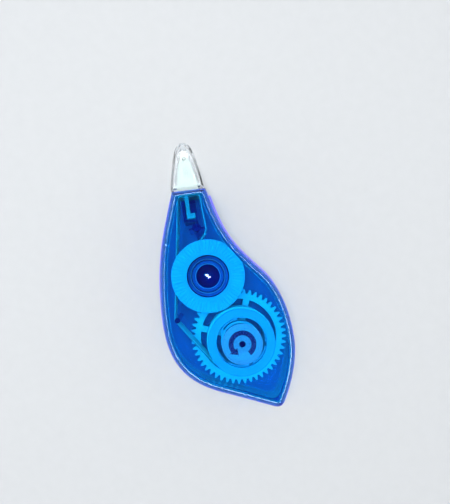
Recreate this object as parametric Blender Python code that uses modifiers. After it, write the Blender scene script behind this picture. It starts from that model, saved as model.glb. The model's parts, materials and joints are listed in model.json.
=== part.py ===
"""Correction tape roller: a flat pear-shaped dispenser with two geared reels in a clear blue casing.

Units are metres. The object lies on its lower shell: +Z is up through the thickness, +Y runs out of
the neck towards the tip, and every reel turns about Z. Sizes below are in millimetres from the supply
reel's axis and are scaled by MM; the empty "casing_frame" then centres the object on the origin.
"""

import math

import bmesh
import bpy
from mathutils import Vector, geometry

MM = 0.001
MERGE = 0.000001

# ---------------------------------------------------------------- driving dimensions (mm)
CENTRE_OFFSET = (3.275, -19.72)      # supply axis, seen from the middle of the object's box

THICKNESS = 14.6
PARTING_Z = 6.0
SEAM = 0.3                          # gap left between two pieces that touch
WALL = 0.8
DRAFT_TOP_Z = 12.2                  # the upper side wall leans in up to here, then rounds over
DRAFT_INSET = 1.0
ROUND_INSET = 1.8
LOWER_DRAFT_Z = 1.4
LOWER_DRAFT_INSET = 0.1
LOWER_ROUND_INSET = 1.4
ROUND_STEPS = 4

MODULE = 0.6
SUPPLY_TEETH = 48
TAKE_UP_TEETH = 23
PRESSURE_ANGLE = math.radians(20)
BACKLASH = 0.10                     # taken off each tooth's thickness on the pitch circle
SUPPLY_AXIS = (0.0, 0.0)
TAKE_UP_BEARING = math.radians(109.42)
GEAR_CENTRES = MODULE * (SUPPLY_TEETH + TAKE_UP_TEETH) / 2
TAKE_UP_AXIS = (GEAR_CENTRES * math.cos(TAKE_UP_BEARING), GEAR_CENTRES * math.sin(TAKE_UP_BEARING))
SUPPLY_PHASE = math.radians(-89.3)
GEAR_Z = (1.4, 3.0)

TAPE_WIDTH = 5.0
TAPE_Z = (4.4, 4.4 + TAPE_WIDTH)
TAPE_THICK = 0.15
TAPE_STANDOFF = 0.35                # from a guided surface to the middle of the tape

SUPPLY_POST_R = 3.0
SUPPLY_TUBE_R = (3.1, 4.9)
SUPPLY_TUBE_TOP = 12.0
SLOT_R = (5.4, 11.9)
SPOKE_WIDTH = 1.95
SPOKE_BEARING = math.radians(70.5)
SPOOL_R = (7.15, 8.35)
SPOOL_FLANGE_R = 9.7
SPOOL_Z = (3.4, 12.4)
SPOOL_FLANGE_THICK = 0.7
ROLL_R = (8.65, 10.0)
CLUTCH_Z = (7.0, 9.7)
CLUTCH_COLLAR_R = (5.2, 5.85)
CLUTCH_ARM_R = (6.2, 6.6)
CLUTCH_NOSE_R = 6.9
CLUTCH_NOSE_BEARING = math.radians(94)
CLUTCH_ARM_SWEEP = math.radians(56)
PAD_R = 5.5                         # round pad on the front face, bounded by a fine groove
PAD_GROOVE = (0.25, 0.2)            # width and depth

TAKE_UP_POST_R = 3.4
TAKE_UP_TUBE_R = (3.5, 4.5)
TAKE_UP_TUBE_TOP = 6.0
WEB_Z = (3.4, 4.2)
WEB_SLOT_R = (5.1, 6.0)
DRUM_R = (6.2, 6.8)
FLANGE_R = 10.8
FLANGE_Z = (9.7, 10.4)
FILM_ROLL_R = (7.05, 7.3)

GUIDE_PIN = (-17.3, 8.7)
GUIDE_PIN_R = 0.75
NECK_BOSS = (-8.5, 34.3)
NECK_BOSS_R = 2.3
NECK_PIN_R = 1.25
NECK_RIB = 0.55                     # the neck boss is a pin with four ribs that the film runs over

TIP_X = -9.55                       # middle of the nose
NOSE_Y = 57.2
NECK_END_Y = 46.2
MOUTH_X = (-13.2, -6.2)
MOUTH_Z = (2.5, 11.4)
CAP_BASE_Y = 46.5
CAP_TOP_Y = 59.8
CAP_WALL = 0.7

# Parting-line outline of the casing: x, y, heading in degrees, reach of the handle behind and ahead.
CASING_OUTLINE = (
    (-15.05, 46.2, 253.0, 0.0, 5.4),
    (-20.25, 29.8, 256.5, 5.6, 6.6),
    (-22.65, 8.2, 270.0, 7.6, 7.4),
    (-16.3, -9.0, 317.0, 6.0, 4.6),
    (-4.13, -15.66, 338.5, 5.6, 3.4),
    (6.62, -20.12, 338.5, 3.6, 1.72),
    (10.86, -18.6, 61.0, 1.72, 5.6),
    (16.1, -0.4, 91.0, 6.4, 7.0),
    (9.5, 20.1, 131.0, 7.4, 5.2),
    (0.55, 32.35, 115.5, 4.9, 5.0),
    (-3.7, 46.2, 103.5, 5.0, 0.0),
)
OUTLINE_STEPS = 9

BLUE = (0.02, 0.16, 0.85, 1.0)
WHITE = (0.86, 0.90, 0.88, 1.0)
TAPE_WHITE = (0.93, 0.93, 0.91, 1.0)
FILM = (0.80, 0.82, 0.80, 1.0)
CLEAR = (0.90, 0.93, 0.95, 1.0)


# ---------------------------------------------------------------- scene and object helpers
def clear_scene():
    for obj in list(bpy.data.objects):
        bpy.data.objects.remove(obj, do_unlink=True)


def make_collection(name):
    collection = bpy.data.collections.new(name)
    bpy.context.scene.collection.children.link(collection)
    return collection


def make_material(name, colour, roughness, transmission=0.0):
    material = bpy.data.materials.new(name)
    material.use_nodes = True
    shader = material.node_tree.nodes["Principled BSDF"]
    shader.inputs["Base Color"].default_value = colour
    shader.inputs["Roughness"].default_value = roughness
    shader.inputs["Metallic"].default_value = 0.0
    shader.inputs["Transmission Weight"].default_value = transmission
    return material


clear_scene()
PARTS = make_collection("correction_tape_roller")
CUTTERS = make_collection("cutters")
FRAME = bpy.data.objects.new("casing_frame", None)
FRAME.location = (CENTRE_OFFSET[0] * MM, CENTRE_OFFSET[1] * MM, 0.0)
PARTS.objects.link(FRAME)

CASING_BLUE = make_material("casing_blue", BLUE, 0.08, 0.85)
REEL_WHITE = make_material("reel_white", WHITE, 0.35)
TAPE_PAPER = make_material("tape_white", TAPE_WHITE, 0.6)
RELEASE_FILM = make_material("release_film", FILM, 0.4)
CAP_CLEAR = make_material("cap_clear", CLEAR, 0.05, 0.9)


def evaluated_mesh(obj):
    """The object's mesh with its modifiers applied and loose seams welded."""
    bpy.context.view_layer.update()
    depsgraph = bpy.context.evaluated_depsgraph_get()
    mesh = bpy.data.meshes.new_from_object(obj.evaluated_get(depsgraph))
    bm = bmesh.new()
    bm.from_mesh(mesh)
    bmesh.ops.remove_doubles(bm, verts=bm.verts, dist=MERGE)
    bm.to_mesh(mesh)
    bm.free()
    return mesh


def frozen(obj):
    """Turn a curve, or a mesh with modifiers, into a plain mesh object of the same name and place."""
    mesh = evaluated_mesh(obj)
    name, matrix = obj.name, obj.matrix_world.copy()
    bpy.data.objects.remove(obj, do_unlink=True)
    solid = bpy.data.objects.new(name, mesh)
    solid.matrix_world = matrix
    CUTTERS.objects.link(solid)
    return solid


def plate(name, outlines, z_range):
    """A flat slab: the first outline is its edge, the others are holes. Outlines are in mm."""
    curve = bpy.data.curves.new(name, "CURVE")
    curve.dimensions = "2D"
    curve.fill_mode = "BOTH"
    curve.extrude = (z_range[1] - z_range[0]) * MM / 2
    for outline in outlines:
        spline = curve.splines.new("POLY")
        spline.points.add(len(outline) - 1)
        spline.use_cyclic_u = True
        for point, (x, y) in zip(spline.points, outline):
            point.co = (x * MM, y * MM, 0.0, 1.0)
    obj = bpy.data.objects.new(name, curve)
    obj.location.z = (z_range[0] + z_range[1]) * MM / 2
    CUTTERS.objects.link(obj)
    return frozen(obj)


def turned(name, profile, steps, centre=(0.0, 0.0)):
    """A ring or disc turned about Z: the profile's (radius, z) runs down its outer side first."""
    mesh = bpy.data.meshes.new(name)
    verts = [(r * MM, 0.0, z * MM) for r, z in profile]
    on_axis = profile[0][0] == 0.0
    edges = [(k, k + 1) for k in range(len(verts) - 1)]
    if not on_axis:
        edges.append((len(verts) - 1, 0))
    mesh.from_pydata(verts, edges, [])
    obj = bpy.data.objects.new(name, mesh)
    obj.location = (centre[0] * MM, centre[1] * MM, 0.0)
    CUTTERS.objects.link(obj)
    screw = obj.modifiers.new("turn", "SCREW")
    screw.angle = math.tau
    screw.steps = steps
    screw.render_steps = steps
    screw.use_merge_vertices = True
    screw.merge_threshold = MERGE
    return frozen(obj)


def tube(name, radii, z_range, steps, centre=(0.0, 0.0)):
    low, high = z_range
    return turned(name, ((radii[1], high), (radii[1], low), (radii[0], low), (radii[0], high)), steps, centre)


def rod(name, radius, z_range, steps, centre=(0.0, 0.0)):
    low, high = z_range
    return turned(name, ((0.0, high), (radius, high), (radius, low), (0.0, low)), steps, centre)


def box(name, x_range, y_range, z_range):
    mesh = bpy.data.meshes.new(name)
    bm = bmesh.new()
    bmesh.ops.create_cube(bm, size=1.0)
    size = Vector((x_range[1] - x_range[0], y_range[1] - y_range[0], z_range[1] - z_range[0])) * MM
    middle = Vector((sum(x_range), sum(y_range), sum(z_range))) * MM / 2
    bmesh.ops.scale(bm, vec=size, verts=bm.verts)
    bmesh.ops.translate(bm, vec=middle, verts=bm.verts)
    bm.to_mesh(mesh)
    bm.free()
    obj = bpy.data.objects.new(name, mesh)
    CUTTERS.objects.link(obj)
    return obj


def combine(base, others, operation):
    """Apply one Boolean after another to base; the operands are used up."""
    for other in others:
        modifier = base.modifiers.new(operation.lower(), "BOOLEAN")
        modifier.operation = operation
        modifier.solver = "EXACT"
        modifier.object = other
        base = frozen(base)
        bpy.data.objects.remove(other, do_unlink=True)
    return base


def finish(obj, name, material, axis=None):
    """Put a finished solid in the parts collection, its origin on its axis, under the casing frame."""
    mesh = obj.data
    mesh.transform(obj.matrix_world)
    origin = Vector((axis[0] * MM, axis[1] * MM, 0.0)) if axis else Vector()
    for vertex in mesh.vertices:
        vertex.co -= origin
    mesh.materials.clear()
    mesh.materials.append(material)
    mesh.shade_smooth()
    mesh.set_sharp_from_angle(angle=math.radians(35))
    mesh.name = name
    bpy.data.objects.remove(obj, do_unlink=True)
    part = bpy.data.objects.new(name, mesh)
    part.parent = FRAME
    part.location = origin
    PARTS.objects.link(part)
    return part


# ---------------------------------------------------------------- outline helpers
def polar(radius, angle, centre=(0.0, 0.0)):
    return (centre[0] + radius * math.cos(angle), centre[1] + radius * math.sin(angle))


def arc(radius, start, end, steps, centre=(0.0, 0.0)):
    return [polar(radius, start + (end - start) * k / steps, centre) for k in range(steps + 1)]


def involute(angle):
    return math.tan(angle) - angle


def gear_outline(teeth, phase, centre):
    """Involute teeth, each with a straight root, two flank chords a side and a flat tip."""
    pitch_r = MODULE * teeth / 2
    base_r = pitch_r * math.cos(PRESSURE_ANGLE)
    root_r, tip_r = pitch_r - 1.25 * MODULE, pitch_r + MODULE
    half_pitch = (math.pi * MODULE / 2 - BACKLASH) / (2 * pitch_r)
    flank = []
    for radius in (max(root_r, base_r), (base_r + tip_r) / 2, tip_r):
        roll = math.acos(min(1.0, base_r / radius))
        flank.append((radius, half_pitch + involute(PRESSURE_ANGLE) - involute(roll)))
    if root_r < base_r:
        flank.insert(0, (root_r, flank[0][1] + 0.15 / root_r))
    points = []
    for tooth in range(teeth):
        middle = phase + math.tau * tooth / teeth
        points += [polar(radius, middle - half, centre) for radius, half in flank]
        points += [polar(radius, middle + half, centre) for radius, half in reversed(flank)]
    return points


def take_up_phase():
    """Turn of the take-up gear that puts one of its gaps on the supply gear's tooth."""
    supply_r, take_up_r = MODULE * SUPPLY_TEETH / 2, MODULE * TAKE_UP_TEETH / 2
    lead = (SUPPLY_PHASE - TAKE_UP_BEARING) * supply_r
    return TAKE_UP_BEARING + math.pi - (lead + math.pi * MODULE / 2) / take_up_r


def spoke_slots(radii, spoke_width, first_spoke, spokes, centre, steps):
    """Openings between the spokes of a wheel, each bounded by two arcs and two spoke edges."""
    slots = []
    for k in range(spokes):
        start = first_spoke + math.tau * k / spokes
        end = start + math.tau / spokes
        outer_trim = math.asin(spoke_width / 2 / radii[1])
        inner_trim = math.asin(spoke_width / 2 / radii[0])
        outer = arc(radii[1], start + outer_trim, end - outer_trim, steps, centre)
        inner = arc(radii[0], end - inner_trim, start + inner_trim, steps, centre)
        slots.append(outer + inner)
    return slots


def tape_path(stops, arc_step=math.radians(12)):
    """The taut line round a row of stops: (centre, radius, side), side -1 where the stop is on the right."""
    lines = []
    for (c1, r1, s1), (c2, r2, s2) in zip(stops, stops[1:]):
        along = Vector(c2) - Vector(c1)
        turn = -math.asin((s2 * r2 - s1 * r1) / along.length)
        heading = math.atan2(along.y, along.x) + turn
        left = Vector((-math.sin(heading), math.cos(heading)))
        lines.append((Vector(c1) - left * s1 * r1, Vector(c2) - left * s2 * r2))
    points = [lines[0][0]]
    for k, (centre, radius, side) in enumerate(stops[1:-1], start=1):
        arrive, leave = lines[k - 1][1], lines[k][0]
        a0 = math.atan2(arrive.y - centre[1], arrive.x - centre[0])
        a1 = math.atan2(leave.y - centre[1], leave.x - centre[0])
        sweep = (a1 - a0) * side % math.tau
        if sweep > math.pi:
            sweep = 0.0
        count = max(1, round(sweep / arc_step))
        points += [Vector(polar(radius, a0 + side * sweep * i / count, centre)) for i in range(count + 1)]
    points.append(lines[-1][1])
    return points


def ribbon(path, thickness):
    """Closed outline of a strip of even thickness along a path."""
    left, right = [], []
    for k, point in enumerate(path):
        before, after = path[max(k - 1, 0)], path[min(k + 1, len(path) - 1)]
        along = (after - before).normalized()
        side = Vector((-along.y, along.x)) * thickness / 2
        left.append(tuple(point + side))
        right.append(tuple(point - side))
    return left + right[::-1]


def casing_points():
    """The parting-line outline, run through Bezier segments from its few anchors."""
    points = []
    for near, far in zip(CASING_OUTLINE, CASING_OUTLINE[1:]):
        start, end = Vector((near[0], near[1], 0)), Vector((far[0], far[1], 0))
        leave = start + Vector((*polar(near[4], math.radians(near[2])), 0))
        arrive = end - Vector((*polar(far[3], math.radians(far[2])), 0))
        points += list(geometry.interpolate_bezier(start, leave, arrive, end, OUTLINE_STEPS))[:-1]
    points.append(Vector((CASING_OUTLINE[-1][0], CASING_OUTLINE[-1][1], 0)))
    return points


# ---------------------------------------------------------------- casing
def inset_outline(points, inset):
    """The outline moved inwards by an even distance, mitred at its corners."""
    moved = []
    for k, point in enumerate(points):
        before = (point - points[k - 1]).normalized()
        after = (points[(k + 1) % len(points)] - point).normalized()
        left_0, left_1 = Vector((-before.y, before.x, 0)), Vector((-after.y, after.x, 0))
        moved.append(point + (left_0 + left_1) * inset / (1 + left_0.dot(left_1)))
    return moved


def side_profile(rim_z, draft_z, draft_inset, crown_z, round_inset, wall):
    """Steps of (inset, z) from the rim over the leaning side and round on to the flat crown."""
    crown_z += wall if crown_z < rim_z else -wall
    steps = [(wall, rim_z), (wall + draft_inset, draft_z)]
    for k in range(1, ROUND_STEPS + 1):
        turn = math.pi / 2 * k / ROUND_STEPS
        inset = wall + draft_inset + (round_inset - wall) * (1 - math.cos(turn))
        steps.append((inset, draft_z + (crown_z - draft_z) * math.sin(turn)))
    return steps


def casing_half(name, rim_z, draft_z, draft_inset, crown_z, round_inset):
    """Half of the casing: rings of the inset outline, lofted up the outside and down the inside."""
    outline = casing_points()
    outside = side_profile(rim_z, draft_z, draft_inset, crown_z, round_inset, 0.0)
    inside = side_profile(rim_z, draft_z, draft_inset, crown_z, round_inset, WALL)
    bm = bmesh.new()
    loops = []
    for inset, z in outside[::-1] + inside:
        loops.append([bm.verts.new((p.x * MM, p.y * MM, z * MM)) for p in inset_outline(outline, inset)])
    for loop, next_loop in zip(loops, loops[1:]):
        for k, vert in enumerate(loop):
            bm.faces.new((loop[k - 1], vert, next_loop[k], next_loop[k - 1]))
    bm.faces.new(loops[0])
    bm.faces.new(loops[-1][::-1])
    bmesh.ops.recalc_face_normals(bm, faces=bm.faces)
    mesh = bpy.data.meshes.new(name)
    bm.to_mesh(mesh)
    bm.free()
    obj = bpy.data.objects.new(name, mesh)
    CUTTERS.objects.link(obj)
    return obj


def mouth_cutter():
    return box("mouth", MOUTH_X, (NECK_END_Y - 3.0, NECK_END_Y + 2.0), MOUTH_Z)


def build_lower_shell():
    shell = casing_half(
        "lower_half", PARTING_Z - SEAM / 2, LOWER_DRAFT_Z, LOWER_DRAFT_INSET, 0.0, LOWER_ROUND_INSET
    )
    floor = WALL / 2
    posts = [
        rod("supply_post", SUPPLY_POST_R, (floor, 11.0), 32, SUPPLY_AXIS),
        rod("take_up_post", TAKE_UP_POST_R, (floor, 12.6), 32, TAKE_UP_AXIS),
        rod("guide_pin", GUIDE_PIN_R, (floor, 13.3), 16, GUIDE_PIN),
        rod("neck_pin", NECK_PIN_R, (floor, 12.9), 24, NECK_BOSS),
    ]
    for half_x, half_y in ((NECK_BOSS_R, NECK_RIB / 2), (NECK_RIB / 2, NECK_BOSS_R)):
        rib_x = (NECK_BOSS[0] - half_x, NECK_BOSS[0] + half_x)
        rib_y = (NECK_BOSS[1] - half_y, NECK_BOSS[1] + half_y)
        posts.append(box("neck_rib", rib_x, rib_y, (floor, 10.3)))
    pocket = box("pocket", (-12.1, -8.0), (37.0, 44.2), (floor, 8.2))
    hollow = box("pocket_hollow", (-11.3, -8.8), (37.8, 43.4), (1.6, 9.0))
    shell = combine(shell, posts + [combine(pocket, [hollow], "DIFFERENCE")], "UNION")
    shell = combine(shell, [mouth_cutter()], "DIFFERENCE")
    return finish(shell, "lower_shell", CASING_BLUE)


def build_upper_shell():
    shell = casing_half(
        "upper_half", PARTING_Z + SEAM / 2, DRAFT_TOP_Z, DRAFT_INSET, THICKNESS, ROUND_INSET
    )
    groove_r = (PAD_R, PAD_R + PAD_GROOVE[0])
    groove = tube("pad_groove", groove_r, (THICKNESS - PAD_GROOVE[1], THICKNESS + SEAM), 64, SUPPLY_AXIS)
    shell = combine(shell, [groove, mouth_cutter()], "DIFFERENCE")
    return finish(shell, "upper_shell", CASING_BLUE)


# ---------------------------------------------------------------- supply reel
def build_supply_gear():
    rim = gear_outline(SUPPLY_TEETH, SUPPLY_PHASE, SUPPLY_AXIS)
    slots = spoke_slots(SLOT_R, SPOKE_WIDTH, SPOKE_BEARING, 4, SUPPLY_AXIS, 12)
    bore = arc(SUPPLY_TUBE_R[0], 0, math.tau * 31 / 32, 31)
    wheel = plate("supply_wheel", [rim, bore] + slots, GEAR_Z)
    hub = tube("supply_tube", SUPPLY_TUBE_R, (GEAR_Z[0] + 0.4, SUPPLY_TUBE_TOP), 32)
    return finish(combine(wheel, [hub], "UNION"), "supply_gear", REEL_WHITE, SUPPLY_AXIS)


def build_clutch_ring():
    """Collar with two spring arms that press outwards on the spool, so that it can slip."""
    outline = []
    inner_r, outer_r = CLUTCH_ARM_R
    for k in range(2):
        nose = CLUTCH_NOSE_BEARING + math.pi * k
        root = nose + CLUTCH_ARM_SWEEP
        throat = root - math.radians(9)
        outline += arc(CLUTCH_COLLAR_R[1], root + math.radians(9) - math.pi, throat, 16)
        outline += arc(inner_r, throat - math.radians(3), nose, 9)
        outline += [polar(CLUTCH_NOSE_R - 0.1, nose - math.radians(3)), polar(CLUTCH_NOSE_R, nose)]
        outline.append(polar(CLUTCH_NOSE_R, nose + math.radians(3)))
        outline += arc(outer_r, nose + math.radians(8), root - math.radians(4), 9)
    bore = arc(CLUTCH_COLLAR_R[0], 0, math.tau * 31 / 32, 31)
    ring = plate("clutch", [outline, bore], CLUTCH_Z)
    return finish(ring, "clutch_ring", REEL_WHITE, SUPPLY_AXIS)


def build_supply_spool():
    """Core of the tape roll, with shallow saw notches for the clutch noses."""
    notches, inner = 8, []
    for k in range(notches):
        start = CLUTCH_NOSE_BEARING + math.tau * k / notches
        inner += [polar(SPOOL_R[0], start), polar(SPOOL_R[0] + 0.45, start + math.radians(1))]
        inner += arc(SPOOL_R[0], start + math.radians(8), start + math.radians(39), 5)
    wall = plate("spool_wall", [arc(SPOOL_R[1], 0, math.tau * 47 / 48, 47), inner], SPOOL_Z)
    flange_r = (SPOOL_R[1] - 0.3, SPOOL_FLANGE_R)
    low_z = (SPOOL_Z[0], SPOOL_Z[0] + SPOOL_FLANGE_THICK)
    high_z = (SPOOL_Z[1] - SPOOL_FLANGE_THICK, SPOOL_Z[1])
    flanges = [tube("spool_flange", flange_r, z_range, 48) for z_range in (low_z, high_z)]
    return finish(combine(wall, flanges, "UNION"), "supply_spool", REEL_WHITE, SUPPLY_AXIS)


def build_tape_roll():
    return finish(tube("roll", ROLL_R, TAPE_Z, 64), "tape_roll", TAPE_PAPER, SUPPLY_AXIS)


# ---------------------------------------------------------------- take-up reel
def build_take_up_gear():
    rim = gear_outline(TAKE_UP_TEETH, take_up_phase(), TAKE_UP_AXIS)
    bore = arc(TAKE_UP_TUBE_R[0], 0, math.tau * 31 / 32, 31, TAKE_UP_AXIS)
    wheel = plate("take_up_wheel", [rim, bore], GEAR_Z)
    hub = tube("take_up_tube", TAKE_UP_TUBE_R, (GEAR_Z[0] + 0.4, TAKE_UP_TUBE_TOP), 32, TAKE_UP_AXIS)
    return finish(combine(wheel, [hub], "UNION"), "take_up_gear", REEL_WHITE, TAKE_UP_AXIS)


def build_take_up_reel():
    """Drum that winds the spent film, open at the top inside its wide flange."""
    bore_r = TAKE_UP_TUBE_R[1] + SEAM
    profile = (
        (FLANGE_R, FLANGE_Z[1]), (FLANGE_R, FLANGE_Z[0]), (DRUM_R[1], FLANGE_Z[0]), (DRUM_R[1], WEB_Z[0]),
        (bore_r, WEB_Z[0]), (bore_r, WEB_Z[1]), (DRUM_R[0], WEB_Z[1]), (DRUM_R[0], FLANGE_Z[1]),
    )
    reel = turned("reel", profile, 56, TAKE_UP_AXIS)
    slots = spoke_slots(WEB_SLOT_R, 2.2, math.radians(80), 4, TAKE_UP_AXIS, 5)
    cutters = [plate("web_slot", [slot], (WEB_Z[0] - 0.3, WEB_Z[1] + 0.3)) for slot in slots]
    return finish(combine(reel, cutters, "DIFFERENCE"), "take_up_reel", REEL_WHITE, TAKE_UP_AXIS)


def build_film_roll():
    roll = tube("spent_roll", FILM_ROLL_R, TAPE_Z, 48, TAKE_UP_AXIS)
    return finish(roll, "used_film_roll", RELEASE_FILM, TAKE_UP_AXIS)


# ---------------------------------------------------------------- head, tape and cap
def head_core():
    """Left and right corners of the wedge that the tape slides over, base to nose."""
    left = [(-12.1, 46.9), (-10.95, 53.6), (TIP_X - 0.45, NOSE_Y)]
    right = [(TIP_X + 0.45, NOSE_Y), (-8.85, 55.3), (-6.95, 46.9)]
    return left, right


def build_tip_body():
    """White head: a wedge between two guide plates, a flange on the neck and a latch arm inside it."""
    left, right = head_core()
    core = plate("core", [left + right], (4.0, 9.8))
    side = [(-12.7, 47.0), (-11.55, 53.5), (-11.0, 54.3), (-10.45, 56.8), (-8.7, 56.7), (-8.35, 55.5), (-6.3, 47.0)]
    pieces = []
    for low, high in ((3.4, 4.2), (9.6, 10.4)):
        pieces.append(plate("side_plate", [side], (low, high)))
    for low, high in ((3.1, 4.2), (9.6, 10.7)):
        pieces.append(box("flange", (-13.6, -5.9), (46.6, 47.3), (low, high)))
    for low, high in ((2.9, 4.2), (9.6, 11.0)):
        pieces.append(box("plug", (-12.75, -6.6), (44.6, 46.8), (low, high)))
    pieces.append(box("web", (-12.0, -7.1), (44.6, 47.1), (3.9, 9.9)))
    pieces.append(box("latch_arm", (-10.9, -9.8), (37.5, 45.0), (8.8, 10.4)))
    pieces.append(box("latch_foot", (-10.9, -8.4), (37.4, 38.9), (8.7, 10.5)))
    head = combine(core, pieces, "UNION")
    pin_hole = rod("pin_hole", 0.5, (3.0, 11.0), 16, (-9.6, 55.0))
    latch_groove = box("latch_groove", (-10.6, -10.1), (39.4, 44.2), (10.1, 10.6))
    return finish(combine(head, [pin_hole, latch_groove], "DIFFERENCE"), "tip_body", REEL_WHITE)


def build_tip_pin():
    return finish(rod("pin", 0.35, (3.35, 10.45), 16, (-9.6, 55.0)), "tip_pin", REEL_WHITE)


def build_tape_runs():
    """Fresh tape from the roll to the nose, and bare film from the nose to the take-up drum."""
    left, right = head_core()
    roll_stop = (SUPPLY_AXIS, ROLL_R[1] + TAPE_STANDOFF, -1)
    pin_stop = (GUIDE_PIN, GUIDE_PIN_R + TAPE_STANDOFF, -1)
    nose_left = [(corner, TAPE_STANDOFF, -1) for corner in left[1:]]
    nose_right = [(corner, TAPE_STANDOFF, -1) for corner in right]
    over_nose = ((TIP_X - 0.14, NOSE_Y + TAPE_STANDOFF), 0.0, -1)
    after_nose = ((TIP_X + 0.14, NOSE_Y + TAPE_STANDOFF), 0.0, -1)
    fresh = tape_path([roll_stop, pin_stop] + nose_left + [over_nose])
    boss_stop = (NECK_BOSS, NECK_BOSS_R + TAPE_STANDOFF, -1)
    drum_stop = (TAKE_UP_AXIS, FILM_ROLL_R[1] + TAPE_STANDOFF, 1)
    spent = tape_path([after_nose] + nose_right + [boss_stop, drum_stop])
    finish(plate("fresh", [ribbon(fresh, TAPE_THICK)], TAPE_Z), "fresh_tape_run", TAPE_PAPER)
    finish(plate("spent", [ribbon(spent, TAPE_THICK)], TAPE_Z), "used_film_run", RELEASE_FILM)


def cap_ring(y, half_x, middle_x, half_z, corner, steps=5):
    """One rounded rectangle of the cap, across the neck's axis."""
    middle_z = (TAPE_Z[0] + TAPE_Z[1]) / 2
    corner = min(corner, half_x * 0.96)
    ring = []
    for quarter in range(4):
        start = quarter * math.pi / 2
        centre_x = (half_x - corner) * (1 if quarter in (0, 3) else -1)
        centre_z = (half_z - corner) * (1 if quarter in (0, 1) else -1)
        for k in range(steps):
            dx, dz = polar(corner, start + math.pi / 2 * k / (steps - 1))
            ring.append(((middle_x + centre_x + dx) * MM, y * MM, (middle_z + centre_z + dz) * MM))
    return ring


def build_cap():
    """Clear hood over the head: it narrows in width much more than in depth, and its end is closed."""
    rings = 8
    bm = bmesh.new()
    previous = None
    for k in range(rings + 1):
        t = k / rings
        y = CAP_BASE_Y + (CAP_TOP_Y - CAP_BASE_Y) * math.sin(t * math.pi / 2)
        rise = (y - CAP_BASE_Y) / (CAP_TOP_Y - CAP_BASE_Y)
        half_x = 4.85 - 2.45 * rise ** 1.15 - 1.0 * rise ** 9
        half_z = 5.0 - 0.6 * rise - 1.0 * rise ** 9
        middle_x = -9.75 + 0.2 * rise
        loop = [bm.verts.new(p) for p in cap_ring(y, half_x, middle_x, half_z, 1.6)]
        if previous:
            for i in range(len(loop)):
                j = (i + 1) % len(loop)
                bm.faces.new((previous[i], loop[i], loop[j], previous[j]))
        previous = loop
    bm.faces.new(previous)
    bmesh.ops.recalc_face_normals(bm, faces=bm.faces)
    mesh = bpy.data.meshes.new("hood")
    bm.to_mesh(mesh)
    bm.free()
    hood = bpy.data.objects.new("hood", mesh)
    CUTTERS.objects.link(hood)
    solidify = hood.modifiers.new("wall", "SOLIDIFY")
    solidify.thickness = CAP_WALL * MM
    solidify.offset = -1.0
    solidify.use_even_offset = True
    solidify.use_rim = True
    return finish(frozen(hood), "cap", CAP_CLEAR)


build_lower_shell()
build_upper_shell()
build_supply_gear()
build_clutch_ring()
build_supply_spool()
build_tape_roll()
build_take_up_gear()
build_take_up_reel()
build_film_roll()
build_tip_body()
build_tip_pin()
build_tape_runs()
build_cap()
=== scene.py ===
"""Looks of the correction tape roller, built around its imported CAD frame.

Lengths are in millimetres from the supply reel's axis, as in the CAD, and place() puts them in the frame.
"""

import json
import math

import bmesh
import bpy
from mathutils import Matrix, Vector, geometry


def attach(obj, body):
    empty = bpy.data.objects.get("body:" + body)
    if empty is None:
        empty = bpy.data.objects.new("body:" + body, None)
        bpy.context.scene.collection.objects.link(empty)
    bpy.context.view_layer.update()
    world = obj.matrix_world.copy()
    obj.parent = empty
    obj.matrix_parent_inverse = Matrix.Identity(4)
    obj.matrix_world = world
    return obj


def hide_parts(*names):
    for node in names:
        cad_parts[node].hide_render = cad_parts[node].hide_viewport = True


MM = 0.001
CENTRE_OFFSET = (3.275, -19.72)      # the supply axis in the frame

EYE_MM = (-3.525, 0.48, 101.0)       # from the frame's origin
LENS = 22.1
SENSOR_WIDTH = 36.0
LENS_SHIFT = (0.032, 0.047)
CAMERA_TURN = -7.5
FLOOR_Z = -0.05
SKY_FADE = (0.45, 0.80)              # direction z over which the pale sky turns dark
SKY_STRENGTH = (1.0, 0.08)
BAND_STOPS = ((0.74, 0.0), (0.77, 1.0), (0.83, 1.0), (0.86, 0.0))
BAND_STRENGTH = 11.0

THICKNESS = 14.6
PARTING_Z = 6.0
SEAM = 0.3
SEAM_LIP_HALF = 0.14
WALL = 0.8
FILLET_Z = 10.7                     # the front shell's inner corner rounds from here on to its ceiling
FILLET_INSET = 2.6
ROUND_STEPS = 10
OUTLINE_STEPS = 20
# Each half: rim z, z where the rounding starts, inset there, face z, further inset at the face.
LOWER = (PARTING_Z - SEAM / 2, 1.4, 0.1, 0.0, 1.4)
UPPER = (PARTING_Z + SEAM / 2, 12.2, 1.0, THICKNESS, 1.8)
# Each anchor: x, y, heading in degrees, reach of the curve before it and after it.
CASING_OUTLINE = (
    (-15.05, 46.2, 253.0, 0.0, 5.4),
    (-20.25, 29.8, 256.5, 5.6, 6.6),
    (-22.65, 8.2, 270.0, 7.6, 7.4),
    (-16.3, -9.0, 317.0, 6.0, 4.6),
    (-4.13, -15.66, 338.5, 5.6, 3.4),
    (6.62, -20.12, 338.5, 3.6, 1.72),
    (10.86, -18.6, 61.0, 1.72, 5.6),
    (16.1, -0.4, 91.0, 6.4, 7.0),
    (9.5, 20.1, 131.0, 7.4, 5.2),
    (0.55, 32.35, 115.5, 4.9, 5.0),
    (-3.7, 46.2, 103.5, 5.0, 0.0),
)
SUPPLY_AXIS = (0.0, 0.0)
AXIS_GAP = 21.3
AXIS_TURN = math.radians(109.42)
TAKE_UP_AXIS = (AXIS_GAP * math.cos(AXIS_TURN), AXIS_GAP * math.sin(AXIS_TURN))
GUIDE_PIN = (-17.3, 8.7)
NECK_BOSS = (-8.5, 34.3)
NECK_RIB_REACH = 2.3
NECK_RIB_HALF = 0.275
NECK_RIB_TOP = 10.3
NECK_END_Y = 46.2
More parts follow.
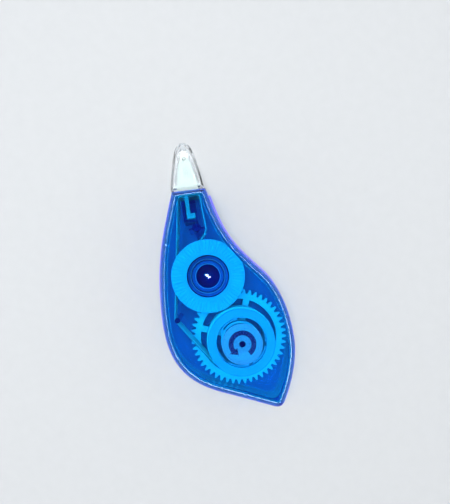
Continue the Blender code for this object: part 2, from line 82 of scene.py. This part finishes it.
# Each post: axis, radius, top z, sides.
POSTS = (
    (SUPPLY_AXIS, 3.0, 11.0, 48),
    (TAKE_UP_AXIS, 3.4, 12.6, 48),
    (GUIDE_PIN, 0.75, 13.3, 24),
    (NECK_BOSS, 1.25, 12.9, 48),
)
CEILING_Z = 13.79                    # just under the front shell's inner face
POST_RING_Z = 11.5
POST_RINGS = (("front_collar", 5.0, 5.9), ("front_sleeve", 3.7, 4.65))
PAD_R = 5.5
ARROW_R = (2.5, 3.9)
ARROW_HEAD_R = (1.8, 3.2, 4.6)
DOT_R = 0.9
SPOOL_R = (7.15, 9.7)
SPOOL_Z = (3.4, 12.4)
TAPE_Z = (4.4, 9.4)
RIDGE_HEIGHT = 0.14
CAP_Y = (46.5, 59.8)
CAP_WALL = 0.7
CAP_RINGS = 24
CAP_MIDDLE = (-9.75, 6.9)


# ---------------------------------------------------------------- node helpers
def node_tree(name):
    material = bpy.data.materials.new(name)
    material.use_nodes = True
    tree = material.node_tree
    return material, tree, tree.nodes["Principled BSDF"], tree.nodes["Material Output"]


def object_coords(tree):
    return tree.nodes.new("ShaderNodeTexCoord").outputs["Object"]


def noise(tree, scale, detail=3.0):
    node = tree.nodes.new("ShaderNodeTexNoise")
    node.inputs["Scale"].default_value = scale
    node.inputs["Detail"].default_value = detail
    tree.links.new(object_coords(tree), node.inputs["Vector"])
    return node.outputs["Fac"]


def span(tree, source, low, high):
    """A 0 to 1 number stretched to low..high."""
    node = tree.nodes.new("ShaderNodeMapRange")
    node.inputs["To Min"].default_value = low
    node.inputs["To Max"].default_value = high
    tree.links.new(source, node.inputs["Value"])
    return node.outputs["Result"]


def bump(tree, shader, height, strength, distance):
    node = tree.nodes.new("ShaderNodeBump")
    node.inputs["Strength"].default_value = strength
    node.inputs["Distance"].default_value = distance
    tree.links.new(height, node.inputs["Height"])
    tree.links.new(node.outputs["Normal"], shader.inputs["Normal"])


def colour_span(tree, source, dark, light):
    ramp = tree.nodes.new("ShaderNodeValToRGB")
    ramp.color_ramp.elements[0].color = (*dark, 1)
    ramp.color_ramp.elements[1].color = (*light, 1)
    tree.links.new(source, ramp.inputs["Fac"])
    return ramp.outputs["Color"]


def clear_plastic(name, tint, dim, inward, absorb, density, ripple, bend):
    """Clear moulded plastic, darker where it is thick.

    inward is its tint for the lamps' light, and bend is its index of refraction.
    """
    material, tree, shader, output = node_tree(name)
    shader.inputs["Transmission Weight"].default_value = 1.0
    shader.inputs["IOR"].default_value = bend
    shader.inputs["Specular IOR Level"].default_value = 0.15
    tree.links.new(colour_span(tree, noise(tree, 220.0), dim, tint), shader.inputs["Base Color"])
    tree.links.new(span(tree, noise(tree, 900.0), 0.01, 0.05), shader.inputs["Roughness"])
    bump(tree, shader, noise(tree, 160.0), ripple, 0.0002)
    see = tree.nodes.new("ShaderNodeBsdfTransparent")
    see.inputs["Color"].default_value = (*inward, 1)
    path = tree.nodes.new("ShaderNodeLightPath")
    mix = tree.nodes.new("ShaderNodeMixShader")
    tree.links.new(path.outputs["Is Shadow Ray"], mix.inputs[0])
    tree.links.new(shader.outputs[0], mix.inputs[1])
    tree.links.new(see.outputs[0], mix.inputs[2])
    tree.links.new(mix.outputs[0], output.inputs["Surface"])
    if density:
        volume = tree.nodes.new("ShaderNodeVolumeAbsorption")
        volume.inputs["Color"].default_value = (*absorb, 1)
        volume.inputs["Density"].default_value = density
        tree.links.new(volume.outputs[0], output.inputs["Volume"])
    return material


def moulded(name, dark, light, rough, grain):
    """Opaque moulded plastic: slight clouding in colour and gloss, and fine grain."""
    material, tree, shader, _ = node_tree(name)
    tree.links.new(colour_span(tree, noise(tree, 300.0), dark, light), shader.inputs["Base Color"])
    tree.links.new(span(tree, noise(tree, 1500.0), *rough), shader.inputs["Roughness"])
    bump(tree, shader, noise(tree, 4000.0), grain, 0.00005)
    return material


def frosted(name, dark, light, cover):
    """Finely etched skin: a light veil of grain that lets some of what is under it through."""
    material, tree, shader, _ = node_tree(name)
    grain = noise(tree, 2600.0, 6.0)
    tree.links.new(colour_span(tree, grain, dark, light), shader.inputs["Base Color"])
    tree.links.new(span(tree, grain, *cover), shader.inputs["Alpha"])
    shader.inputs["Roughness"].default_value = 0.6
    shader.inputs["Specular IOR Level"].default_value = 0.2
    bump(tree, shader, grain, 0.4, 0.00005)
    return material


def wound(name, dark, light, centre, pitch):
    """Wound tape: fine concentric lines round the reel's axis."""
    material, tree, shader, _ = node_tree(name)
    shift = tree.nodes.new("ShaderNodeVectorMath")
    shift.operation = "SUBTRACT"
    shift.inputs[1].default_value = (*centre, 0.0)
    flat = tree.nodes.new("ShaderNodeVectorMath")
    flat.operation = "MULTIPLY"
    flat.inputs[1].default_value = (1.0, 1.0, 0.0)
    length = tree.nodes.new("ShaderNodeVectorMath")
    length.operation = "LENGTH"
    rings = tree.nodes.new("ShaderNodeMath")
    rings.operation = "MULTIPLY"
    rings.inputs[1].default_value = math.tau / pitch
    wave = tree.nodes.new("ShaderNodeMath")
    wave.operation = "SINE"
    tree.links.new(object_coords(tree), shift.inputs[0])
    tree.links.new(shift.outputs[0], flat.inputs[0])
    tree.links.new(flat.outputs[0], length.inputs[0])
    tree.links.new(length.outputs["Value"], rings.inputs[0])
    tree.links.new(rings.outputs[0], wave.inputs[0])
    layers = tree.nodes.new("ShaderNodeMapRange")
    layers.inputs["From Min"].default_value = -1.0
    tree.links.new(wave.outputs[0], layers.inputs["Value"])
    tree.links.new(colour_span(tree, layers.outputs["Result"], dark, light), shader.inputs["Base Color"])
    tree.links.new(span(tree, noise(tree, 1500.0), 0.5, 0.65), shader.inputs["Roughness"])
    bump(tree, shader, layers.outputs["Result"], 0.3, 0.00005)
    return material


# ---------------------------------------------------------------- mesh helpers
def place(x, y, z):
    return Vector(((x + CENTRE_OFFSET[0]) * MM, (y + CENTRE_OFFSET[1]) * MM, z * MM))


def polar(radius, angle, centre=(0.0, 0.0)):
    return (centre[0] + radius * math.cos(angle), centre[1] + radius * math.sin(angle))


def mesh_object(name, bm):
    bmesh.ops.recalc_face_normals(bm, faces=bm.faces)
    mesh = bpy.data.meshes.new(name)
    bm.to_mesh(mesh)
    bm.free()
    obj = bpy.data.objects.new(name, mesh)
    bpy.context.scene.collection.objects.link(obj)
    return obj


def loft(name, rings, capped=True):
    """A closed body through rings of points in mm: its end rings are filled, or meet each other."""
    bm = bmesh.new()
    loops = [[bm.verts.new(place(*point)) for point in ring] for ring in rings]
    for loop, next_loop in zip(loops, loops[1:]):
        for k, vert in enumerate(loop):
            bm.faces.new((loop[k - 1], vert, next_loop[k], next_loop[k - 1]))
    if capped:
        bm.faces.new(loops[0])
        bm.faces.new(loops[-1][::-1])
    bmesh.ops.remove_doubles(bm, verts=bm.verts, dist=0.0000005)
    return mesh_object(name, bm)


def turned(name, profile, steps, centre, ridge=None):
    """A ring turned about Z from a closed profile of (r, z); ridge(r, z, step) lifts its points."""
    bm = bmesh.new()
    loops = []
    for step in range(steps):
        turn = math.tau * step / steps
        loop = []
        for r, z in profile:
            lift = ridge(r, z, step) if ridge else 0.0
            loop.append(bm.verts.new(place(*polar(r, turn, centre), z + lift)))
        loops.append(loop)
    for k, loop in enumerate(loops):
        before = loops[k - 1]
        for j, vert in enumerate(loop):
            bm.faces.new((before[j - 1], before[j], vert, loop[j - 1]))
    return mesh_object(name, bm)


def rod(name, radius, z_range, centre, steps, rounding=0.15):
    low, high = z_range
    rings = []
    for r, z in ((radius, low), (radius, high - rounding), (radius - rounding, high)):
        rings.append([(*polar(r, math.tau * k / steps, centre), z) for k in range(steps)])
    return loft(name, rings)


def block(name, x_range, y_range, z_range):
    corners = [(x_range[i], y_range[j]) for i, j in ((0, 0), (1, 0), (1, 1), (0, 1))]
    return loft(name, [[(x, y, z) for x, y in corners] for z in z_range])


def flat_plate(name, outlines, z_range):
    """A slab from 2D outlines in mm: the first is its edge and the others are holes."""
    curve = bpy.data.curves.new(name, "CURVE")
    curve.dimensions = "2D"
    curve.fill_mode = "BOTH"
    curve.extrude = (z_range[1] - z_range[0]) * MM / 2
    for outline in outlines:
        spline = curve.splines.new("POLY")
        spline.points.add(len(outline) - 1)
        spline.use_cyclic_u = True
        for point, (x, y) in zip(spline.points, outline):
            point.co = (*place(x, y, 0.0), 1.0)
    holder = bpy.data.objects.new(name, curve)
    bpy.context.scene.collection.objects.link(holder)
    bpy.context.view_layer.update()
    mesh = bpy.data.meshes.new_from_object(holder.evaluated_get(bpy.context.evaluated_depsgraph_get()))
    bpy.data.objects.remove(holder, do_unlink=True)
    bm = bmesh.new()
    bm.from_mesh(mesh)
    bmesh.ops.remove_doubles(bm, verts=bm.verts, dist=0.000001)
    bmesh.ops.translate(bm, verts=bm.verts, vec=(0, 0, (z_range[0] + z_range[1]) * MM / 2))
    return mesh_object(name, bm)


def apply_modifiers(obj):
    bpy.context.view_layer.update()
    mesh = bpy.data.meshes.new_from_object(obj.evaluated_get(bpy.context.evaluated_depsgraph_get()))
    obj.modifiers.clear()
    obj.data = mesh


def combine(base, others, operation):
    for other in others:
        modifier = base.modifiers.new(operation.lower(), "BOOLEAN")
        modifier.operation = operation
        modifier.solver = "EXACT"
        modifier.object = other
        apply_modifiers(base)
        bpy.data.objects.remove(other, do_unlink=True)
    return base


def soften(obj, width, segments=2):
    """Small round edges where faces share their points; copies of CAD nodes share none and stay sharp."""
    bevel = obj.modifiers.new("edges", "BEVEL")
    bevel.width = width * MM
    bevel.segments = segments
    bevel.limit_method = "ANGLE"
    bevel.angle_limit = math.radians(30.0)
    apply_modifiers(obj)


def dress(obj, material, body, nodes=(), smooth=40.0):
    obj.data.materials.clear()
    obj.data.materials.append(material)
    obj.data.shade_smooth()
    obj.data.set_sharp_from_angle(angle=math.radians(smooth))
    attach(obj, body)
    if nodes:
        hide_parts(*nodes)
    return obj


def flatten(obj):
    """Level faces are shaded flat, so that no crease runs across them."""
    for face in obj.data.polygons:
        if abs(face.normal.z) > 0.9999:
            face.use_smooth = False


def copy_of(node, name):
    obj = bpy.data.objects.new(name, nodes[node].data.copy())
    bpy.context.scene.collection.objects.link(obj)
    return obj


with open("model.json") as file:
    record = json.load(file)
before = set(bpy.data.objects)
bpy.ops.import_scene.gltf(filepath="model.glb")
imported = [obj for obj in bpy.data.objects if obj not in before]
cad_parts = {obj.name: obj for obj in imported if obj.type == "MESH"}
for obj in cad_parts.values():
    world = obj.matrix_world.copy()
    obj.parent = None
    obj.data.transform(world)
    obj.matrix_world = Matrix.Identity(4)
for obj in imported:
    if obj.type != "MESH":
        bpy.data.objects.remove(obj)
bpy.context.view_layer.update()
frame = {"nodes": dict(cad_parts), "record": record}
nodes = frame["nodes"]

# ---------------------------------------------------------------- camera, floor and light
scene = bpy.context.scene
scene.view_settings.view_transform = "Standard"

EYE = Vector(EYE_MM) * MM
camera_data = bpy.data.cameras.new("camera")
camera_data.lens = LENS
camera_data.sensor_width = SENSOR_WIDTH
camera_data.shift_x, camera_data.shift_y = LENS_SHIFT
camera_data.clip_start = 0.005
camera = bpy.data.objects.new("camera", camera_data)
camera.location = EYE
camera.rotation_euler = (0.0, 0.0, math.radians(CAMERA_TURN))
scene.collection.objects.link(camera)
scene.camera = camera

floor_mesh = bpy.data.meshes.new("floor")
floor_mesh.from_pydata([(-1, -1, 0), (1, -1, 0), (1, 1, 0), (-1, 1, 0)], [], [(0, 1, 2, 3)])
floor = bpy.data.objects.new("floor", floor_mesh)
floor.location.z = FLOOR_Z * MM
scene.collection.objects.link(floor)
floor_mesh.materials.append(moulded("floor_pale", (0.47, 0.49, 0.51), (0.50, 0.52, 0.54), (0.5, 0.6), 0.1))

world = bpy.data.worlds.new("studio")
world.use_nodes = True
sky = world.node_tree
axes = sky.nodes.new("ShaderNodeSeparateXYZ")
sky.links.new(sky.nodes.new("ShaderNodeTexCoord").outputs["Generated"], axes.inputs[0])
height = sky.nodes.new("ShaderNodeMapRange")
height.interpolation_type = "SMOOTHSTEP"
height.inputs["From Min"].default_value, height.inputs["From Max"].default_value = SKY_FADE
height.inputs["To Min"].default_value, height.inputs["To Max"].default_value = SKY_STRENGTH
sky.links.new(axes.outputs["Z"], height.inputs["Value"])

# A bright band that only reflections see, for the thin light lines along rounded edges.
band = sky.nodes.new("ShaderNodeValToRGB")
for direction_z, level in BAND_STOPS:
    stop = band.color_ramp.elements.new(direction_z)
    stop.color = (level, level, level, 1.0)
band.color_ramp.elements[0].color = (0.0, 0.0, 0.0, 1.0)
band.color_ramp.elements[-1].color = (0.0, 0.0, 0.0, 1.0)
sky.links.new(axes.outputs["Z"], band.inputs["Fac"])
seen = sky.nodes.new("ShaderNodeMath")
seen.operation = "MULTIPLY"
sky.links.new(band.outputs["Color"], seen.inputs[0])
sky.links.new(sky.nodes.new("ShaderNodeLightPath").outputs["Is Glossy Ray"], seen.inputs[1])
total = sky.nodes.new("ShaderNodeMath")
total.operation = "MULTIPLY_ADD"
total.inputs[1].default_value = BAND_STRENGTH
sky.links.new(seen.outputs[0], total.inputs[0])
sky.links.new(height.outputs["Result"], total.inputs[2])
sky.links.new(total.outputs[0], sky.nodes["Background"].inputs["Strength"])
sky.nodes["Background"].inputs["Color"].default_value = (1.0, 1.0, 1.0, 1.0)
scene.world = world


def softbox(name, spot, size, power, roll=None, glossy=True):
    """A rectangular lamp, in metres, aimed at the origin, or straight down and rolled."""
    light = bpy.data.lights.new(name, "AREA")
    light.shape = "RECTANGLE"
    light.size, light.size_y = size
    light.energy = power
    lamp = bpy.data.objects.new(name, light)
    lamp.location = spot
    if roll is None:
        lamp.rotation_mode = "QUATERNION"
        lamp.rotation_quaternion = (-lamp.location).to_track_quat("-Z", "Y")
    else:
        lamp.rotation_euler = (0.0, 0.0, roll)
    lamp.visible_glossy = glossy
    lamp.visible_transmission = glossy
    scene.collection.objects.link(lamp)


softbox("fill_top", (-0.05, 0.08, 0.60), (0.4, 0.4), 4.5, glossy=False)
softbox("spark_left", (-0.30, 0.12, 0.35), (0.012, 0.012), 0.03)
softbox("spark_right", (0.30, 0.10, 0.35), (0.012, 0.012), 0.03)
softbox("bar", EYE + Vector((-0.002, 0.0, 0.314)), (0.0085, 0.002), 0.003, roll=math.radians(-48))

# ---------------------------------------------------------------- materials
blue = clear_plastic(
    "casing_blue",
    tint=(0.045, 0.67, 0.98), dim=(0.03, 0.63, 0.96), inward=(0.25, 0.88, 1.0),
    absorb=(0.0, 0.84, 0.955), density=900.0, ripple=0.003, bend=1.5,
)
# Painted highlight: a lilac edge line on the ribbon at the seam, standing in for light caught along the
# casing's rim.
seam = frosted("seam_painted_glow", (0.24, 0.21, 0.85), (0.34, 0.30, 0.98), (0.85, 0.97))
# Painted shade: the dark leaf inside the front wall stands in for the darkness of thick plastic seen edge
# on.
core = frosted("wall_shade_leaf", (0.0, 0.05, 0.62), (0.0, 0.09, 0.80), (0.36, 0.50))
# Painted shade: the dark band just inside the seam stands in for the wall's darkness seen edge on.
tongue = frosted("seam_painted_shade", (0.0, 0.05, 0.55), (0.0, 0.08, 0.70), (0.80, 0.95))
clear = clear_plastic(
    "cap_clear",
    tint=(0.96, 0.98, 0.99), dim=(0.93, 0.96, 0.98), inward=(0.98, 0.99, 1.0),
    absorb=(1.0, 1.0, 1.0), density=0.0, ripple=0.03, bend=1.3,
)
pad_rim = frosted("pad_rim", (0.01, 0.22, 0.62), (0.03, 0.34, 0.80), (0.55, 0.8))
pad_skin = frosted("pad_frosted", (0.006, 0.17, 0.52), (0.016, 0.30, 0.82), (0.45, 0.70))
pad_mark = frosted("pad_mark", (0.0, 0.006, 0.10), (0.0, 0.02, 0.17), (0.75, 0.92))
white = moulded("reel_white", (0.62, 0.60, 0.72), (0.69, 0.67, 0.79), (0.28, 0.42), 0.15)
# Painted shade: the spool gets a darker copy of the reels' white, to tone down the light its high flange
# catches.
spool_painted_shade = moulded("spool_painted_shade", (0.50, 0.48, 0.64), (0.57, 0.55, 0.71), (0.28, 0.42), 0.15)
# Painted light: the gear gets a lighter copy of the reels' white, to lift the shade deep down in the casing.
gear_painted_light = moulded("gear_painted_light", (0.80, 0.80, 0.86), (0.87, 0.87, 0.92), (0.28, 0.42), 0.15)
tip_white = moulded("tip_white", (0.34, 0.41, 0.395), (0.39, 0.46, 0.445), (0.35, 0.5), 0.15)
film = moulded("release_film", (0.92, 0.94, 0.94), (0.97, 0.98, 0.98), (0.25, 0.4), 0.1)
grey = moulded("pin_grey", (0.28, 0.32, 0.31), (0.38, 0.42, 0.41), (0.3, 0.45), 0.1)
paper = moulded("tape_white", (0.90, 0.90, 0.88), (0.95, 0.95, 0.93), (0.5, 0.65), 0.2)
roll_paper = wound("tape_wound", (0.80, 0.81, 0.80), (0.95, 0.95, 0.93), place(0, 0, 0)[:2], 0.0003)

FINISH = {
    "casing_blue": blue, "reel_white": white, "tip_white": tip_white, "tape_white": paper,
    "release_film": film, "pin_grey": grey, "cap_clear": clear,
}
for part in frame["record"]["subparts"]:
    node = nodes[part["node"]]
    node.data.materials.clear()
    node.data.materials.append(FINISH[part["material_slot"]])


# ---------------------------------------------------------------- casing
def casing_points():
    points = []
    for near, far in zip(CASING_OUTLINE, CASING_OUTLINE[1:]):
        start, end = Vector((near[0], near[1], 0)), Vector((far[0], far[1], 0))
        leave = start + Vector((*polar(near[4], math.radians(near[2])), 0))
        arrive = end - Vector((*polar(far[3], math.radians(far[2])), 0))
        points += list(geometry.interpolate_bezier(start, leave, arrive, end, OUTLINE_STEPS))[:-1]
    points.append(Vector((CASING_OUTLINE[-1][0], CASING_OUTLINE[-1][1], 0)))
    return points


def inset_outline(points, inset):
    """The outline moved inward; points that would pass the neck's corners stay in them."""
    moved = []
    for k, point in enumerate(points):
        before = (point - points[k - 1]).normalized()
        after = (points[(k + 1) % len(points)] - point).normalized()
        left_0, left_1 = Vector((-before.y, before.x, 0)), Vector((-after.y, after.x, 0))
        moved.append(point + (left_0 + left_1) * inset / (1 + left_0.dot(left_1)))
    left_corner, right_corner = moved[0], moved[-1]
    middle_x = (left_corner.x + right_corner.x) / 2
    for k, point in enumerate(moved):
        if point.y > left_corner.y:
            moved[k] = left_corner if point.x < middle_x else right_corner
    return moved


def side_profile(rim_z, draft_z, draft_inset, crown_z, round_inset, wall):
    """Steps of (inset, z) up the leaning side and round on to the crown; inner corners are fuller."""
    crown_z += wall if crown_z < rim_z else -wall
    if wall and crown_z > rim_z:
        share = (FILLET_Z - rim_z) / (draft_z - rim_z)
        draft_z, draft_inset = FILLET_Z, draft_inset * share
        round_inset = FILLET_INSET
    steps = [(wall, rim_z), (wall + draft_inset, draft_z)]
    for k in range(1, ROUND_STEPS + 1):
        turn = math.pi / 2 * k / ROUND_STEPS
        inset = wall + draft_inset + (round_inset - wall) * (1 - math.cos(turn))
        steps.append((inset, draft_z + (crown_z - draft_z) * math.sin(turn)))
    return steps


def casing_half(name, shape):
    outline = casing_points()
    outside = side_profile(*shape, 0.0)
    inside = side_profile(*shape, WALL)
    rings = []
    for inset, z in outside[::-1] + inside:
        rings.append([(p.x, p.y, z) for p in inset_outline(outline, inset)])
    return loft(name, rings)


def mouth():
    return block("mouth", (-13.2, -6.2), (NECK_END_Y - 3.0, NECK_END_Y + 2.0), (2.5, 11.4))


def neck_end():
    return block("neck_end", (-16.5, -2.5), (NECK_END_Y - 1.6, NECK_END_Y + 2.0), (2.5, 14.8))


def make_back_shell():
    """Back half with its posts, neck ribs and latch pocket, all standing on the floor of the tray."""
    base = WALL / 2
    rib_x = (NECK_BOSS[0] - NECK_RIB_REACH, NECK_BOSS[0] + NECK_RIB_REACH)
    rib_y = (NECK_BOSS[1] - NECK_RIB_REACH, NECK_BOSS[1] + NECK_RIB_REACH)
    thin_x = (NECK_BOSS[0] - NECK_RIB_HALF, NECK_BOSS[0] + NECK_RIB_HALF)
    thin_y = (NECK_BOSS[1] - NECK_RIB_HALF, NECK_BOSS[1] + NECK_RIB_HALF)
    lower = casing_half("back_shell", LOWER)
    solids = [rod("post", radius, (base, top), axis, steps) for axis, radius, top, steps in POSTS]
    solids.append(block("rib", rib_x, thin_y, (base, NECK_RIB_TOP)))
    solids.append(block("rib", thin_x, rib_y, (base, NECK_RIB_TOP)))
    solids.append(block("pocket", (-12.1, -8.0), (37.0, 44.2), (base, 8.2)))
    combine(lower, solids, "UNION")
    combine(lower, [mouth()], "DIFFERENCE")
    dress(lower, blue, "casing", ["lower_shell"])
    flatten(lower)


def make_seam():
    """The lip and tongue that meet where the two halves part; the lilac lip is a painted highlight along the
    outline, the dark tongue painted shade of the wall seen edge on.
    """
    for name, insets, material in (("seam_painted_glow", (-0.15, 0.15), seam), ("seam_painted_shade", (0.17, 0.7), tongue)):
        lips = [[(p.x, p.y) for p in inset_outline(casing_points(), inset)] for inset in insets]
        z_range = (PARTING_Z - SEAM_LIP_HALF, PARTING_Z + SEAM_LIP_HALF)
        lip = combine(flat_plate(name, lips, z_range), [neck_end()], "DIFFERENCE")
        dress(lip, material, "casing")


def make_wall_core():
    """A dark leaf inside the front shell's wall: painted shade, standing in for the darkness of thick
    plastic seen edge on.
    """
    up, down = ((0.35, 6.4), (1.3, 12.2), (1.75, 13.5)), ((1.9, 13.4), (1.45, 12.1), (0.5, 6.4))
    rings = []
    for inset, z in (*up, *down, up[0]):
        rings.append([(p.x, p.y, z) for p in inset_outline(casing_points(), inset)])
    shade_sheet = combine(loft("wall_shade_leaf", rings, capped=False), [neck_end()], "DIFFERENCE")
    dress(shade_sheet, core, "casing").visible_shadow = False


def make_front_shell():
    """Front half, with the collar and sleeve that hang from its ceiling round the take-up post."""
    upper = casing_half("front_shell", UPPER)
    combine(upper, [mouth()], "DIFFERENCE")
    dress(upper, blue, "casing", ["upper_shell"])
    flatten(upper)
    for name, inner, outer in POST_RINGS:
        chamfer = 0.1
        foot = [(outer, POST_RING_Z + chamfer), (outer - chamfer, POST_RING_Z)]
        foot += [(inner + chamfer, POST_RING_Z), (inner, POST_RING_Z + chamfer)]
        ring = turned(name, [(outer, CEILING_Z)] + foot + [(inner, CEILING_Z)], 96, TAKE_UP_AXIS)
        dress(ring, blue, "casing")


def make_pad():
    """Frosted round pad with a raised rim and a sunk turn arrow and dot."""
    edge = [polar(PAD_R, math.tau * k / 96) for k in range(96)]
    sweep = [math.radians(-60 + 270 * k / 40) for k in range(41)]
    head_in, head_tip, head_out = ARROW_HEAD_R
    arrow = [polar(ARROW_R[1], a) for a in sweep]
    arrow.append(polar(head_out, sweep[-1]))
    arrow.append(polar(head_tip, sweep[-1] + math.radians(34)))
    arrow.append(polar(head_in, sweep[-1]))
    arrow += [polar(ARROW_R[0], a) for a in reversed(sweep)]
    dot = [polar(DOT_R, math.tau * k / 32) for k in range(32)]
    skin = flat_plate("front_pad", [edge, arrow, dot], (THICKNESS + 0.005, THICKNESS + 0.05))
    dress(skin, pad_skin, "casing").visible_shadow = False
    foot_z, side_z, top_z = THICKNESS - 0.02, THICKNESS + 0.08, THICKNESS + 0.12
    bead = [(PAD_R + 0.25, foot_z), (PAD_R + 0.22, side_z), (PAD_R + 0.12, top_z)]
    bead += [(PAD_R + 0.02, side_z), (PAD_R, foot_z)]
    rim = turned("front_pad_rim", bead, 128, SUPPLY_AXIS)
    dress(rim, pad_rim, "casing").visible_shadow = False
    mark = flat_plate("front_pad_mark", [arrow], (THICKNESS + 0.005, THICKNESS + 0.03))
    dress(mark, pad_mark, "casing").visible_shadow = False


# ---------------------------------------------------------------- reels
def make_gear():
    gear = copy_of("supply_gear", "drive_gear")
    soften(gear, 0.1)
    dress(gear, gear_painted_light, "supply_drive", ["supply_gear"])


def make_spool():
    """Spool with a flange at each end and six windows under the top one."""
    (inner, rim), (low, high) = SPOOL_R, SPOOL_Z
    flange, hub = 0.7, inner + 1.2
    profile = [(rim, high - 0.15), (rim - 0.15, high), (inner + 0.1, high), (inner, high - 0.1)]
    profile += [(inner, low), (rim, low), (rim, low + flange), (hub, low + flange)]
    profile += [(hub, high - flange), (rim, high - flange)]
    spool = turned("core_spool", profile, 120, SUPPLY_AXIS)
    windows = []
    for k in range(6):
        turn = math.radians(60 * k - 8)
        sweep = [turn + math.radians(50 * j / 12) for j in range(13)]
        sector = [polar(8.7, a) for a in sweep] + [polar(6.8, a) for a in reversed(sweep)]
        windows.append(flat_plate("window", [sector], (9.9, 11.5)))
    combine(spool, windows, "DIFFERENCE")
    dress(spool, spool_painted_shade, "supply_core", ["supply_spool"]).visible_shadow = False


def make_roll():
    (low, high), inner, outer = TAPE_Z, 8.37, 10.0
    tape = turned("wound_tape", [(outer, high), (outer, low), (inner, low), (inner, high)], 120, SUPPLY_AXIS)
    dress(tape, roll_paper, "supply_core", ["tape_roll"])


def make_winding_reel():
    """Take-up drum whose top flange has fine radial ridges: two steps raised in every six."""
    def ridge(r, z, step):
        return RIDGE_HEIGHT if (7.4 < r < 10.7 and z > 10.2 and step % 6 in (0, 1)) else 0.0

    profile = [(10.8, 10.3), (10.8, 9.7), (6.8, 9.7), (6.8, 3.4), (4.8, 3.4), (4.8, 4.2)]
    profile += [(6.2, 4.2), (6.2, 10.3), (6.3, 10.4), (7.35, 10.4), (7.5, 10.4), (10.5, 10.4), (10.7, 10.4)]
    reel = turned("winding_reel", profile, 348, TAKE_UP_AXIS, ridge)
    dress(reel, white, "take_up", ["take_up_reel"], smooth=25.0)


# ---------------------------------------------------------------- head and cap
def make_runs():
    """The two tape runs, their faces three to four times as far apart as in the CAD, with a ripple.

    Their facets share no points, so each one moves alone and gaps open where the surface turns.
    """
    for node, name, material, slot, spread in (
        ("used_film_run", "film_run", film, "release_film", 0.24),
        ("fresh_tape_run", "tape_run", paper, "tape_white", 0.18),
    ):
        run = copy_of(node, name)
        bm = bmesh.new()
        bm.from_mesh(run.data)
        bmesh.ops.subdivide_edges(bm, edges=bm.edges, cuts=1)
        bm.normal_update()
        for vert in bm.verts:
            flat = Vector((vert.normal.x, vert.normal.y, 0.0))
            if flat.length > 0:
                swell = spread + 0.06 * math.sin(vert.co.y / MM * 1.9)
                vert.co += flat.normalized() * swell * MM
        bm.to_mesh(run.data)
        bm.free()
        dress(run, material, "casing", [node])


def make_head():
    head = copy_of("tip_body", "pressing_tip")
    soften(head, 0.15, segments=3)
    dress(head, tip_white, "casing", ["tip_body"])


def cap_ring(y, half_x, middle_x, half_z, corner, steps=9):
    """A rounded rectangle across the cap at y."""
    corner = min(corner, half_x * 0.96)
    ring = []
    for quarter in range(4):
        start = quarter * math.pi / 2
        centre_x = (half_x - corner) * (1 if quarter in (0, 3) else -1)
        centre_z = (half_z - corner) * (1 if quarter in (0, 1) else -1)
        for k in range(steps):
            dx, dz = polar(corner, start + math.pi / 2 * k / (steps - 1))
            ring.append((middle_x + centre_x + dx, y, CAP_MIDDLE[1] + centre_z + dz))
    return ring


def make_cap():
    """Hollow cap, open at the neck and drawn in to a blunt nose."""
    base_y, top_y = CAP_Y
    outer, inner = [], []
    for k in range(CAP_RINGS + 1):
        y = base_y + (top_y - base_y) * math.sin(k / CAP_RINGS * math.pi / 2)
        rise = (y - base_y) / (top_y - base_y)
        half_x = 4.85 - 2.45 * rise ** 1.15 - 1.0 * rise ** 9
        half_z = 5.0 - 0.6 * rise - 1.0 * rise ** 9
        middle_x = CAP_MIDDLE[0] + 0.2 * rise
        outer.append(cap_ring(y, half_x, middle_x, half_z, 1.6))
        inside_y = base_y + (y - base_y) * (top_y - CAP_WALL - base_y) / (top_y - base_y)
        inner.append(cap_ring(inside_y, half_x - CAP_WALL, middle_x, half_z - CAP_WALL, 1.0))
    cap = loft("clear_cap", inner[::-1] + outer)
    dress(cap, clear, "cap", ["cap"])


make_back_shell()
make_seam()
make_wall_core()
make_front_shell()
make_pad()
make_gear()
make_spool()
make_roll()
make_winding_reel()
make_runs()
make_head()
make_cap()
